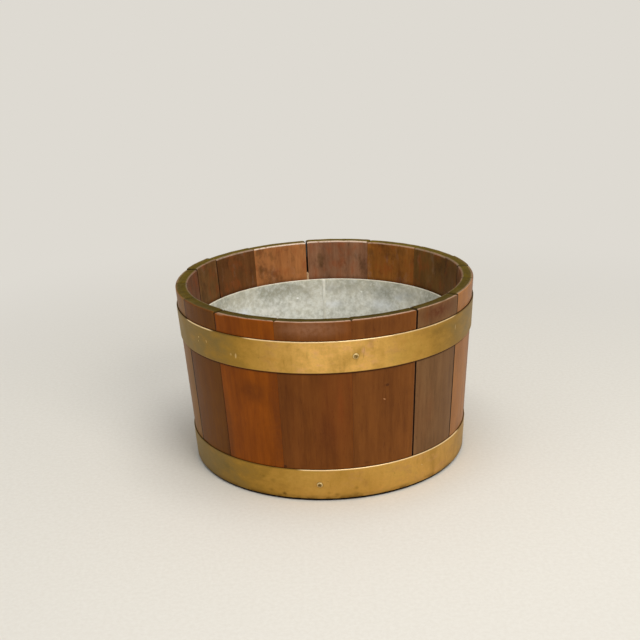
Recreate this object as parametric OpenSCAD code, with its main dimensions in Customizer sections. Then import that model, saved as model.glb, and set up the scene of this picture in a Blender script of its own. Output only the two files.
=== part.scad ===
// Round coopered planter: tapered hardwood staves stand round a boarded base,
// two riveted brass hoops draw them together, and a sheet metal liner lifts out.
// Lengths are in millimetres. Angles are in degrees, counted from the front
// towards the right, and the front faces -Y.

/* [Tub] */
// Outer diameter across the rim
rim_d = 432; // [400:1:600]
// Outer diameter at the foot
foot_d = 398; // [330:1:430]
// Height from the foot to the rim
tub_h = 263; // [220:1:400]
// Thickness of the staves
stave_t = 17; // [15:0.5:24]
// Radius that eases the two arrises of the rim
rim_ease = 1.8; // [0.5:0.1:4]
// Bevel round the foot of the staves
foot_bevel = 1.2; // [0.5:0.1:3]

/* [Stave joints] */
// Gap of a tight joint
tight_gap = 0.3; // [0.2:0.05:0.8]
// Gap of the joint that has opened most
open_gap = 1.8; // [0.9:0.1:3]
// Turn from the front to the first joint
first_joint = -18.5; // [-24:0.5:-12]
// Drop of the lowest stave top below the rim
top_drop = 2.4; // [0.2:0.1:3]

/* [Base] */
// Thickness of the base boards
base_t = 16; // [12:0.5:22]
// Space under the base
base_lift = 18; // [8:1:36]
// Number of base boards
board_count = 4; // [2:1:6]
// Gap between the base boards
board_gap = 0.3; // [0.2:0.05:1]
// Depth of the groove that holds the base
groove_depth = 6; // [3:0.5:8]
// Play of the base in its groove
groove_play = 0.2; // [0.1:0.05:0.5]
// Diameter of the dowels between the base boards
dowel_d = 8; // [6:0.5:10]
// Length of those dowels
dowel_len = 50; // [30:1:56]
// Room past a dowel's two ends together
dowel_room = 1; // [0.5:0.1:3]

/* [Hoops] */
// Width of the brass strip
hoop_w = 44.5; // [32:0.5:56]
// Thickness of the brass strip
hoop_t = 1.6; // [1:0.1:2.5]
// Drop of the upper hoop below the rim
upper_hoop_drop = 29; // [12:1:60]
// Lift of the lower hoop above the floor
lower_hoop_lift = 3; // [1:0.5:20]
// Room between a hoop and the staves
hoop_play = 0.1; // [0.05:0.05:0.4]
// Overlap of the strip's ends
lap_len = 44; // [30:1:70]
// Turn from the front to the upper hoop's overlap
upper_lap = 170; // [120:1:240]
// Turn from the front to the lower hoop's overlap
lower_lap = 195; // [120:1:240]

/* [Fasteners] */
// Screws in each hoop
screw_count = 3; // [2:1:6]
// Turn from the front to the upper hoop's first screw
upper_screw = 9.7; // [-30:0.1:30]
// Turn from the front to the lower hoop's first screw
lower_screw = -4.8; // [-30:0.1:30]
// Diameter of a screw's head
screw_head_d = 7.6; // [6:0.2:10]
// Height of a screw's domed head
screw_head_h = 1.9; // [1.2:0.1:3]
// Diameter of a screw's shank
screw_d = 3.6; // [2.5:0.1:4.5]
// Length of a screw under its head
screw_len = 12; // [8:0.5:15]
// Length of the cross recess in a screw's head
recess_l = 3.6; // [2:0.1:4.5]
// Width of the recess's arms
recess_w = 0.9; // [0.6:0.1:1.2]
// Depth of the recess
recess_depth = 1; // [0.5:0.1:1.4]
// Diameter of a rivet's shank
rivet_d = 3.2; // [2.4:0.1:4]
// Diameter of a rivet's head
rivet_head_d = 6.6; // [5:0.2:9]
// Height of a rivet's domed head
rivet_head_h = 1.3; // [0.8:0.1:2]
// Distance from a rivet to the strip's edge
rivet_edge = 11; // [8:0.5:14]
// Room round a shank in its hole
shank_play = 0.1; // [0.05:0.05:0.3]

/* [Liner] */
// Thickness of the liner's sheet
liner_t = 0.9; // [0.6:0.1:1.4]
// Drop of the liner's edge below the rim
liner_drop = 62.5; // [20:0.5:110]
// Room between the liner and the staves
liner_play = 2.4; // [1.8:0.1:6]
// Height of the hem folded along the liner's edge
hem_h = 6; // [3:0.5:15]
// Width of the soldered seam up the liner's back
seam_w = 6; // [3:0.5:12]
// Height of the solder above the sheet
seam_t = 0.5; // [0.3:0.1:1]
// Reach of the solder round the liner's floor
fillet_reach = 2.6; // [1.5:0.1:5]
// Thickness left at the floor's bevelled edge, under the solder
bevel_left = 0.3; // [0.1:0.05:0.5]
// Turn from the front to the soldered seam
seam_turn = 180; // [150:1:210]
// Room between the liner and the base that carries it
rest_gap = 0.3; // [0.2:0.05:0.6]
// Room between the soldered pieces
solder_gap = 0.08; // [0.05:0.01:0.2]

/* [Hidden] */
// Relative widths of the staves, from the front one towards the right
stave_shares = [27, 25, 23, 22, 18, 15, 22, 25, 29, 26, 23, 17, 20, 22, 21, 25];
// How far the joint before each stave has opened, from tight to most
joint_shares = [0, 0, 0.7, 0.5, 0.3, 0.3, 0, 0, 0, 1, 0, 0.3, 0.4, 0.4, 0.4, 0.2];
// How far each stave's top lies below the rim, from none to lowest
drop_shares = [
    1, 0.85, 0.7, 0.45, 0.45, 0.1, 0.65, 0.7,
    0.35, 0.8, 0.65, 0, 0.65, 0.7, 0.5, 0.9
];
stave_count = len(stave_shares);
share_sum = sum_to(stave_shares, stave_count);

// Colour of each stave
red = "#6e3a1e";
orange = "#80441c";
dark = "#5c3c28";
stave_tones = [
    red, orange, dark, red, orange, dark, dark, orange,
    red, orange, dark, dark, red, dark, dark, orange
];
end_wood = "#8a6540";
brass = "#b08a45";
zinc = "#a4a79c";
tin = "#c2c2b4";

arc_steps = 5;
round_fn = 48;
sweep_fn = 180;
through = 1;
taper = (rim_d - foot_d) / 2 / tub_h;
lean = atan(taper);
base_top = base_lift + base_t;
base_r = inner_r(base_lift) + groove_depth - groove_play;
board_w = 2 * base_r / board_count;
upper_hoop_z = tub_h - upper_hoop_drop - hoop_w;
liner_floor = base_top + rest_gap;
liner_top = tub_h - liner_drop;
liner_flat_r = liner_r(liner_floor + liner_t) - liner_t - solder_gap - fillet_reach;
upper_screws = [for (i = [0 : screw_count - 1]) upper_screw + i * 360 / screw_count];
lower_screws = [for (i = [0 : screw_count - 1]) lower_screw + i * 360 / screw_count];

// Radius of the tub's outside at a height
function outer_r(z) = foot_d / 2 + taper * z;
// Radius of the tub's inside at a height
function inner_r(z) = outer_r(z) - stave_t;
// Radius of the liner's outside at a height
function liner_r(z) = inner_r(z) - liner_play;
// A name with a two-figure number
function numbered(name, i) = str(name, i < 10 ? "0" : "", i);
// Sum of the first n entries of a list
function sum_to(list, n) = n == 0 ? 0 : list[n - 1] + sum_to(list, n - 1);
// Turn from the front to the joint before stave i, counted from 0
function joint_angle(i) = first_joint + 360 * sum_to(stave_shares, i) / share_sum;
// Half the turn that a joint's gap takes at the rim
function half_gap(i) = let (gap = tight_gap + joint_shares[i % stave_count] * (open_gap - tight_gap))
    gap / rim_d * 180 / PI;
// Turn that a length takes on a radius
function turn_of(length, radius) = length / radius * 180 / PI;
// Points of an arc round a centre
function arc(centre, radius, from, to) = [
    for (i = [0 : arc_steps])
        let (a = from + (to - from) * i / arc_steps) centre + radius * [cos(a), sin(a)]
];

// Turns its children from the front towards the right
module at_angle(a) {
    rotate([0, 0, a - 90]) children();
}

// Revolves a profile of radius and height between two turns from the front
module swept(from, to) {
    at_angle(from) rotate_extrude(angle = to - from, $fn = sweep_fn) children();
}

// Stands its children, which rise along Z, square on the hoop's outside
module on_hoop(a, z, lift) {
    at_angle(a) translate([outer_r(z), 0, z]) rotate([0, 90 + lean, 0]) translate([0, 0, lift]) children();
}

// Long section through a stave, with its groove for the base
module stave_section(top) {
    e = rim_ease;
    polygon(concat(
        [[inner_r(0) + foot_bevel, 0], [outer_r(0) - foot_bevel, 0], [outer_r(foot_bevel), foot_bevel]],
        arc([outer_r(top - e) - e, top - e], e, 0, 90),
        arc([inner_r(top - e) + e, top - e], e, 90, 180),
        [[inner_r(base_top), base_top + groove_play]],
        [[inner_r(base_lift) + groove_depth, base_top + groove_play]],
        [[inner_r(base_lift) + groove_depth, base_lift - groove_play]],
        [[inner_r(base_lift), base_lift - groove_play], [inner_r(foot_bevel), foot_bevel]]
    ));
}

// Holes for the screws of one hoop, with room round their shanks
module screw_holes(angles, z) {
    depth = screw_len - hoop_play - hoop_t + shank_play;
    for (a = angles)
        on_hoop(a, z, -depth)
            cylinder(d = screw_d + 2 * shank_play, h = depth + through, $fn = round_fn);
}

// Angles from a list that lie on or near a stave
function near(angles, from, to, margin) =
    [for (a = angles) for (turn = [-360, 0, 360]) if (a + turn > from - margin && a + turn < to + margin) a];

module stave(i) {
    from = joint_angle(i);
    to = joint_angle(i + 1);
    margin = turn_of(screw_head_d, foot_d / 2);
    color(stave_tones[i]) difference() {
        swept(from + half_gap(i), to - half_gap(i + 1)) stave_section(tub_h - top_drop * drop_shares[i]);
        screw_holes(near(upper_screws, from, to, margin), upper_hoop_z + hoop_w / 2);
        screw_holes(near(lower_screws, from, to, margin), lower_hoop_lift + hoop_w / 2);
    }
}

// Places its children at both ends of each joint between the base boards
module at_dowels() {
    for (j = [1 : board_count - 1]) {
        x = j * board_w - base_r;
        y = sqrt(base_r * base_r - x * x) / 2;
        for (side = [-1, 1])
            translate([x, side * y, base_lift + base_t / 2]) rotate([0, 90, 0]) children();
    }
}

module base_board(i) {
    color(end_wood) difference() {
        intersection() {
            translate([0, 0, base_lift]) cylinder(r = base_r, h = base_t, $fn = sweep_fn);
            translate([i * board_w - base_r + board_gap / 2, -base_r, base_lift - through])
                cube([board_w - board_gap, 2 * base_r, base_t + 2 * through]);
        }
        at_dowels()
            cylinder(d = dowel_d + 2 * shank_play, h = dowel_len + dowel_room, center = true, $fn = round_fn);
    }
}

module base_dowels() {
    color(end_wood) at_dowels() cylinder(d = dowel_d, h = dowel_len, center = true, $fn = round_fn);
}

// Section of the strip, from a height in its thickness to the top of a number of layers
module hoop_section(z, low, high) {
    function side(h, out) = [outer_r(h) + hoop_play + out, h];
    polygon([side(z, low), side(z, high), side(z + hoop_w, high), side(z + hoop_w, low)]);
}

// Places its children at the two rivets of an overlap, square on the strip
module at_rivets(z, lap, lift) {
    for (dz = [rivet_edge, hoop_w - rivet_edge])
        on_hoop(lap, z + dz, lift) children();
}

module hoop(z, lap, angles) {
    half_lap = turn_of(lap_len, outer_r(z)) / 2;
    color(brass) difference() {
        union() {
            rotate_extrude($fn = sweep_fn) hoop_section(z, 0, hoop_t);
            swept(lap - half_lap, lap + half_lap) hoop_section(z, hoop_t / 2, 2 * hoop_t);
        }
        for (a = angles)
            on_hoop(a, z + hoop_w / 2, 0)
                cylinder(d = screw_d + 2 * shank_play, h = hoop_play + hoop_t + through, $fn = round_fn);
        at_rivets(z, lap, 0)
            cylinder(d = rivet_d + 2 * shank_play, h = hoop_play + 2 * hoop_t + through, $fn = round_fn);
    }
}

// Domed head that rises from Z = 0
module dome(d, h) {
    r = (d * d / 4 + h * h) / (2 * h);
    rotate_extrude($fn = round_fn)
        polygon(concat([[0, 0]], arc([0, h - r], r, 90 - asin(d / 2 / r), 90)));
}

module hoop_screws(z, angles) {
    lift = hoop_play + hoop_t;
    color(brass) for (a = angles)
        on_hoop(a, z + hoop_w / 2, lift + shank_play / 2) difference() {
            union() {
                dome(screw_head_d, screw_head_h);
                translate([0, 0, -screw_len]) cylinder(d = screw_d, h = screw_len, $fn = round_fn);
            }
            for (turn = [a, a + 90])
                rotate([0, 0, turn]) translate([-recess_l / 2, -recess_w / 2, screw_head_h - recess_depth])
                    cube([recess_l, recess_w, recess_depth + through]);
        }
}

module hoop_rivets(z, lap) {
    lift = hoop_play + 2 * hoop_t;
    color(brass) at_rivets(z, lap, lift + shank_play / 2) {
        dome(rivet_head_d, rivet_head_h);
        translate([0, 0, -2 * hoop_t]) cylinder(d = rivet_d, h = 2 * hoop_t, $fn = round_fn);
    }
}

// The liner's side, one sheet with its edge folded outwards
module liner_wall() {
    low = liner_floor;
    hem_z = liner_top - hem_h;
    color(zinc) rotate_extrude($fn = sweep_fn) polygon(concat(
        [[liner_r(low) - liner_t, low], [liner_r(low), low]],
        [[liner_r(hem_z), hem_z], [liner_r(hem_z) + liner_t, hem_z]],
        arc([liner_r(liner_top), liner_top - liner_t], liner_t, 0, 180)
    ));
}

// The liner's bottom, a disc let in between the side's foot, with its edge bevelled for the solder
module liner_bottom() {
    low = liner_floor;
    edge = liner_floor + bevel_left;
    high = liner_floor + liner_t;
    gap = liner_t + solder_gap;
    color(zinc) rotate_extrude($fn = sweep_fn) polygon([
        [0, low], [liner_r(low) - gap, low], [liner_r(edge) - gap, edge],
        [liner_flat_r, high], [0, high]
    ]);
}

// Solder over the side's overlap, up the back
module liner_seam() {
    low = liner_floor + liner_t + fillet_reach + 2 * solder_gap;
    high = liner_top - liner_t;
    gap = liner_t + solder_gap;
    half = turn_of(seam_w, liner_r(high)) / 2;
    color(tin) swept(seam_turn - half, seam_turn + half) polygon([
        [liner_r(low) - gap - seam_t, low], [liner_r(low) - gap, low],
        [liner_r(high) - gap, high], [liner_r(high) - gap - seam_t, high]
    ]);
}

// Solder in the corner between the liner's floor and side, lying on the floor's bevel
module liner_solder() {
    edge = liner_floor + bevel_left + solder_gap;
    low = liner_floor + liner_t + solder_gap;
    high = low + fillet_reach;
    gap = liner_t + solder_gap;
    color(tin) rotate_extrude($fn = sweep_fn)
        polygon([[liner_flat_r + solder_gap, low], [liner_r(edge) - gap, edge], [liner_r(high) - gap, high]]);
}

for (i = [0 : stave_count - 1])
    stave(i);
for (i = [0 : board_count - 1])
    base_board(i);
base_dowels();
hoop(upper_hoop_z, upper_lap, upper_screws);  // upper_hoop
hoop(lower_hoop_lift, lower_lap, lower_screws);  // lower_hoop
hoop_rivets(upper_hoop_z, upper_lap);  // upper_hoop_rivets
hoop_rivets(lower_hoop_lift, lower_lap);  // lower_hoop_rivets
hoop_screws(upper_hoop_z, upper_screws);  // upper_hoop_screws
hoop_screws(lower_hoop_lift, lower_screws);  // lower_hoop_screws
liner_wall();
liner_bottom();
liner_seam();
liner_solder();
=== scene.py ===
"""Round coopered planter: staves, brass hoops and a lift-out metal liner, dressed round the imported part."""

import math
from collections import namedtuple

import bpy
import numpy as np
from bpy.props import FloatProperty, FloatVectorProperty, PointerProperty
from mathutils import Matrix, Vector


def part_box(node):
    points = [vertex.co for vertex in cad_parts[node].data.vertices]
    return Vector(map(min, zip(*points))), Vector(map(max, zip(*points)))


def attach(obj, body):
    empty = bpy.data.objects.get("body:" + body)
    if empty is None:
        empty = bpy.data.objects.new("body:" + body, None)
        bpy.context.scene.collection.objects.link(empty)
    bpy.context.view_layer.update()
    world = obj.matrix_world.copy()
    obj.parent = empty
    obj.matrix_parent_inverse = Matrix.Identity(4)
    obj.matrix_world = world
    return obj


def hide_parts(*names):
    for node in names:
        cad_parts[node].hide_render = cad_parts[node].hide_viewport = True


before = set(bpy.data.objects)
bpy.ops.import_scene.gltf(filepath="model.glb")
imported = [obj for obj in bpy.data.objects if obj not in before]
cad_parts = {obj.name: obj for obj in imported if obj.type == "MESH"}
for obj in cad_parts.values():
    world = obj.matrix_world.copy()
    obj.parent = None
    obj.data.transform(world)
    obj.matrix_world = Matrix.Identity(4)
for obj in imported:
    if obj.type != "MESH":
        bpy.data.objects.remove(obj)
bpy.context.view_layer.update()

bl_info = {
    "name": "Coopered planter",
    "version": (1, 0, 0),
    "blender": (4, 5, 0),
    "location": "View3D > Sidebar > Planter",
    "description": "Dresses a coopered tub planter in varnished wood, aged brass and weathered zinc",
    "category": "Add Mesh",
}

MM = 0.001
STAVES = sorted(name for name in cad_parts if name.startswith("stave_"))
BOARDS = sorted(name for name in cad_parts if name.startswith("base_board_"))
HOOPS = ("upper_hoop", "lower_hoop")

# The photograph's frame and the place of its camera, from a fit to the rim, the hoops and the liner
PHOTO_WIDTH = 640
FOCAL_PIXELS = 1104.0
SENSOR_WIDTH = 36.0
CAMERA_BACK = 1.547
CAMERA_HEIGHT = 0.7018
CAMERA_SIDE = -0.0083
CAMERA_PITCH = 0.3178
CAMERA_ROLL = -0.0379

# The studio: half the floor's width, the background, and each lamp's name, place, size, power and colour
FLOOR_REACH = 12.0
BACKGROUND = "dedad2"
LAMPS_AIM = (0, 0, 0.14)
LAMPS = (
    ("key", (1.3, -2.3, 1.9), 1.5, 46, (1.0, 0.97, 0.92)),
    ("fill", (-2.2, -1.2, 1.3), 1.6, 5, (1.0, 0.98, 0.95)),
    ("top", (0.2, -0.3, 2.4), 1.4, 26, (1.0, 1.0, 1.0)),
)

# Each stave from the front one towards the right: its varnished colour outside and inside, how far the rim's
# outer edge is worn, how far its inner edge is worn pale and given a painted highlight, and how deep its top
# corners are knocked off, in millimetres
Look = namedtuple("Look", "outside inside outer_wear inner_wear left_corner right_corner")
LOOKS = [Look(*row) for row in (
    ("6b3b13", "6b3b13", 0.9, 0.05, 0.2, 0.2),
    ("6e3f17", "6e3f17", 0.85, 0.05, 0.2, 0.5),
    ("6f4e2f", "6a472a", 0.6, 0.1, 0.6, 0.5),
    ("986537", "8a5e3e", 0.4, 0.1, 0.4, 0.4),
    ("6a4324", "6e4829", 0.3, 0.1, 0.3, 0.5),
    ("503824", "62431f", 0.2, 0.15, 0.3, 0.2),
    ("5a3e26", "64441d", 0.2, 0.2, 0.4, 0.2),
    ("744824", "804e1d", 0.3, 0.3, 0.2, 0.5),
    ("7a5234", "825a40", 0.2, 0.8, 0.3, 0.9),
    ("8a522a", "a1673a", 0.3, 1.0, 0.7, 0.3),
    ("644028", "5f3a1c", 0.2, 0.3, 0.2, 0.6),
    ("6a4c30", "6c4a27", 0.2, 0.15, 0.3, 0.5),
    ("643e24", "66432e", 0.3, 0.1, 0.4, 0.4),
    ("7f541d", "5e452e", 0.1, 0.1, 0.3, 0.6),
    ("643908", "5a3d24", 0.05, 0.1, 0.5, 0.4),
    ("824104", "824108", 0.5, 0.05, 1.3, 0.2),
)]

# Marks, in degrees and millimetres: turn from the front, height, width, length, colour, strength, lean
WOOD_MARKS = {
    "stave_15": ((-64.2, 150, 3.2, 260, "1a0e06", 0.85),),
    "stave_16": (
        (-28.6, 156.3, 62, 52, "3c1c0a", 0.45), (-40.6, 259.6, 15, 3.5, "8e7258", 0.5),
        (-19, 110, 46, 300, "5e3012", 0.6), (-42, 80, 18, 210, "5a3417", 0.6),
        (-43.2, 247, 1.6, 34, "1e0e06", 0.8),
    ),
    "stave_01": (
        (-1.5, 95, 46, 90, "4a200c", 0.3), (4, 145, 14, 100, "8c4216", 0.3),
        # The pale band high on the front staves, at 251 mm, is a painted sheen
        (-18.2, 50.5, 8, 4.8, "2c160a", 0.6), (-6, 251, 130, 36, "986c50", 0.6),
    ),
    "stave_02": (
        (20.5, 143.9, 4.6, 1.7, "c48e5e", 0.75, -25), (21.6, 163.8, 6.5, 4.9, "28140a", 0.55),
        (13.6, 53.5, 14, 8, "38200e", 0.25), (20, 250, 100, 36, "5c3214", 0.4),
    ),
    "stave_03": ((44, 250, 110, 40, "5a2e14", 0.95), (38, 250, 16, 40, "7a4418", 0.3)),
}
BRASS_MARKS = {
    "upper_hoop": (
        (-54.3, 216.5, 2, 3.4, "f0d090", 0.75), (-54.7, 210.4, 1.6, 3, "e8c888", 0.7),
        (-49.4, 214.6, 1.6, 6, "e6c27c", 0.7, 8), (-34.6, 205.4, 3.2, 9, "ead09a", 0.5, -6),
        (-36.8, 206.2, 4.2, 4.8, "d8b878", 0.4), (-15.5, 204, 0.8, 12, "7e5a24", 0.6),
        (12.6, 214.8, 0.7, 24, "8a5c24", 0.7, -8), (12.5, 217.7, 9.5, 17, "deac88", 0.6),
        (42.3, 233, 3.6, 2, "fff0c0", 0.9), (55, 216, 1.8, 10, "e8d0a0", 0.5),
        (-20, 208, 40, 9, "c08c3c", 0.4), (16.6, 196.5, 12, 9, "7a5420", 0.35),
        (28, 222, 16, 12, "b07a3a", 0.3), (44, 223, 34, 16, "84642c", 0.55),
        (37, 205, 26, 12, "c8a04c", 0.35),
    ),
    "lower_hoop": (
        (38.2, 29.1, 1.8, 1.4, "f0d8a8", 0.8), (-1.1, 12.5, 10, 7, "5a3e18", 0.3),
        (-19, 9, 10, 8, "48300f", 0.75), (-24.5, 12, 14, 7, "5a4216", 0.5),
        (-23.4, 27, 13, 13, "5e4818", 0.35), (-27.5, 31, 8, 10, "6a5420", 0.35),
        (1.8, 9.5, 12, 8, "54380f", 0.5), (9, 9, 16, 8, "5a3e18", 0.5),
        (9.4, 17.5, 8, 8, "6e4c1e", 0.45), (12.8, 23, 14, 18, "94683a", 0.5),
        (-45, 30, 50, 26, "6e6034", 0.4),
    ),
}
ZINC_MARKS = (
    (-164, 188, 80, 22, "8e8874", 0.4, 8), (-172, 178, 34, 44, "8e8874", 0.35, -6),
    (166, 186, 60, 26, "8e8a78", 0.4), (150, 180, 60, 34, "8a8c86", 0.5),
    (136, 184, 60, 26, "7e8280", 0.45), (176, 184, 44, 26, "84827a", 0.4),
    (-156, 186, 60, 18, "8e8a78", 0.35), (-136, 163, 44, 26, "eaf0fa", 0.7),
    (-150, 158, 90, 20, "f0eee6", 0.4), (150, 160, 80, 30, "e6ecf2", 0.5),
    (141, 176, 34, 20, "c4ccd6", 0.45), (176, 158, 60, 18, "e8ecf2", 0.45),
    (-166.7, 171.5, 7, 4.9, "ffffff", 1), (161.3, 180, 6, 4.6, "ecece4", 0.8),
    (-158, 168, 4, 9, "f2f2ea", 0.6, 10),
)
# Lower down, the seam is as grey as the sheet
SEAM_MARKS = ((180, 152, 90, 60, "c4c2b6", 0.95), (180, 130, 90, 60, "c4c2b6", 0.9))

# A mark narrower than this is drawn whole, and a mark reaches at least this deep into the wall, in mm
SMALL_MARK = 5
MARK_DEPTH = 12

# Stretches of a hoop's top edge that are rubbed bright and given a painted highlight: from and to which turn
# in degrees, and how far
POLISHED_AND_HIGHLIT = {
    "upper_hoop": ((-64, -44, 1.0), (-32, 24, 0.8), (4, 56, 0.6), (96, 131, 0.5), (-150, -118, 0.5)),
    "lower_hoop": ((-14, 66, 0.85), (100, 150, 0.4), (-160, -120, 0.5)),
}
# Seeds of the random draws for each kind of piece
SEEDS = {"stave": 100, "filler": 5, "hoop": 40, "sheet": 7, "seam": 12, "floor": 21}

# How far the brass is darkened at a turn from the front in degrees: tarnish, with painted shade towards the
# sides
TARNISH_AND_SHADE = {
    "upper_hoop": (
        (-180, 0.5), (-110, 0.8), (-66, 1.0), (-42, 0.8), (-22, 0.42), (-6, 0.0),
        (12, 0.08), (30, 0.44), (62, 0.8), (90, 0.85), (130, 0.5), (180, 0.5),
    ),
    "lower_hoop": (
        (-180, 0.5), (-110, 0.8), (-62, 1.0), (-35, 0.7), (-10, 0.44),
        (20, 0.36), (45, 0.25), (70, 0.6), (90, 0.7), (130, 0.5), (180, 0.5),
    ),
}


def linear(colour):
    """Scene-linear RGBA of a colour written as six hex figures."""
    shares = [int(colour[i : i + 2], 16) / 255 for i in (0, 2, 4)]
    return [c / 12.92 if c <= 0.04045 else ((c + 0.055) / 1.055) ** 2.4 for c in shares] + [1.0]


def scaled(colour, *shares):
    """A linear colour with its red, green and blue multiplied, by one share or by one each."""
    return [c * share for c, share in zip(colour, shares * (3 // len(shares)))] + [1.0]


def length(name, description, millimetres):
    """A length that a user may change."""
    return FloatProperty(name=name, description=description, default=millimetres * MM, unit="LENGTH")


def shade(name, description, colour):
    """A colour that a user may change."""
    start = linear(colour)[:3]
    return FloatVectorProperty(name=name, description=description, default=start, subtype="COLOR")


class StaveSettings(bpy.types.PropertyGroup):
    """Sizes and colours of the staves."""

    arris: length("Arris", "Radius worn onto an open joint's edges", 0.8)
    rim_ease: length("Rim ease", "Radius worn onto the rim", 1.9)
    waviness: length("Waviness", "Depth of the hand-planed waves", 0.16)
    tint: shade("Tint", "Tint over every stave", "ffffff")
    # Rim: dirt whose olive hue is partly a painted reflection
    rim: shade("Rim", "Dirt on the rim", "5a480c")
    bare: shade("Bare wood", "Base boards", "8a6540")


class HoopSettings(bpy.types.PropertyGroup):
    """Sizes and colours of the brass hoops."""

    edge: length("Edge", "Radius worn onto the strip's edges", 0.6)
    dents: length("Dents", "Depth of the dents and waves", 0.35)
    brass: shade("Brass", "Clean brass", "f2c06c")
    dull: shade("Dull brass", "Tarnished brass", "b0883c")
    stud: shade("Studs", "Screws and rivets", "c4a263")


class LinerSettings(bpy.types.PropertyGroup):
    """Sizes and colours of the metal liner."""

    dents: length("Dents", "Depth of the sheet's dents", 0.9)
    zinc: shade("Zinc", "Weathered zinc", "c3bfac")
    bloom: shade("Bloom", "White bloom", "f4f5f0")
    solder: shade("Solder", "Solder", "f2eedf")


SETTINGS = {"planter_staves": StaveSettings, "planter_hoops": HoopSettings, "planter_liner": LinerSettings}


def arithmetic(operation, reflected=False):
    """An operator that adds a Math node for a value and another, or the other way round if reflected."""

    def method(self, other):
        pair = (other, self) if reflected else (self, other)
        return self.graph.put("Math", 0, {"operation": operation}, dict(enumerate(pair)))

    return method


class Value:
    """A node socket that takes part in arithmetic."""

    __add__ = arithmetic("ADD")
    __radd__ = arithmetic("ADD", reflected=True)
    __sub__ = arithmetic("SUBTRACT")
    __rsub__ = arithmetic("SUBTRACT", reflected=True)
    __mul__ = arithmetic("MULTIPLY")
    __rmul__ = arithmetic("MULTIPLY", reflected=True)

    def __init__(self, graph, socket):
        self.graph = graph
        self.socket = socket

    def step(self, low, high):
        """A smooth rise from 0 at low to 1 at high, or a fall where low is above high."""
        if low > high:
            return 1.0 - self.step(high, low)
        smooth = {"interpolation_type": "SMOOTHSTEP"}
        return self.graph.put("MapRange", "Result", smooth, Value=self, From_Min=low, From_Max=high)


class Graph:
    """A node tree under construction."""

    def __init__(self, tree):
        self.tree = tree

    def put(self, kind, out=0, settings=(), numbered=(), **named):
        """Adds a node: its type, the output to give, its settings, then the values or links of its entries.

        Entries go by their number, or by their name with underscores for spaces.
        """
        node = self.tree.nodes.new("ShaderNode" + kind)
        for key, value in dict(settings).items():
            setattr(node, key, value)
        for key, value in dict(numbered).items():
            self.join(value, node.inputs[key])
        for key, value in named.items():
            self.join(value, node.inputs[key.replace("_", " ")])
        return Value(self, node.outputs[out])

    def join(self, value, entry):
        """Links a value to an entry, or sets the entry to a plain number, vector or colour."""
        if isinstance(value, Value):
            self.tree.links.new(value.socket, entry)
        else:
            entry.default_value = value

    def seen(self):
        """1 where the camera sees the surface, straight, mirrored or through glass, and 0 elsewhere."""
        kinds = ("Camera", "Glossy", "Transmission")
        camera, mirrored, through = [self.put("LightPath", "Is %s Ray" % kind) for kind in kinds]
        return camera + mirrored + through

    def backed(self, share, lit, kind, output):
        """Turns what is lit into the plain background as the share goes from 0 to 1, and gives it out."""
        plain = self.put(kind, Color=linear(BACKGROUND))
        both = self.put("MixShader", numbered={0: share, 1: lit, 2: plain})
        self.join(both, self.tree.nodes[output].inputs["Surface"])


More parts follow.
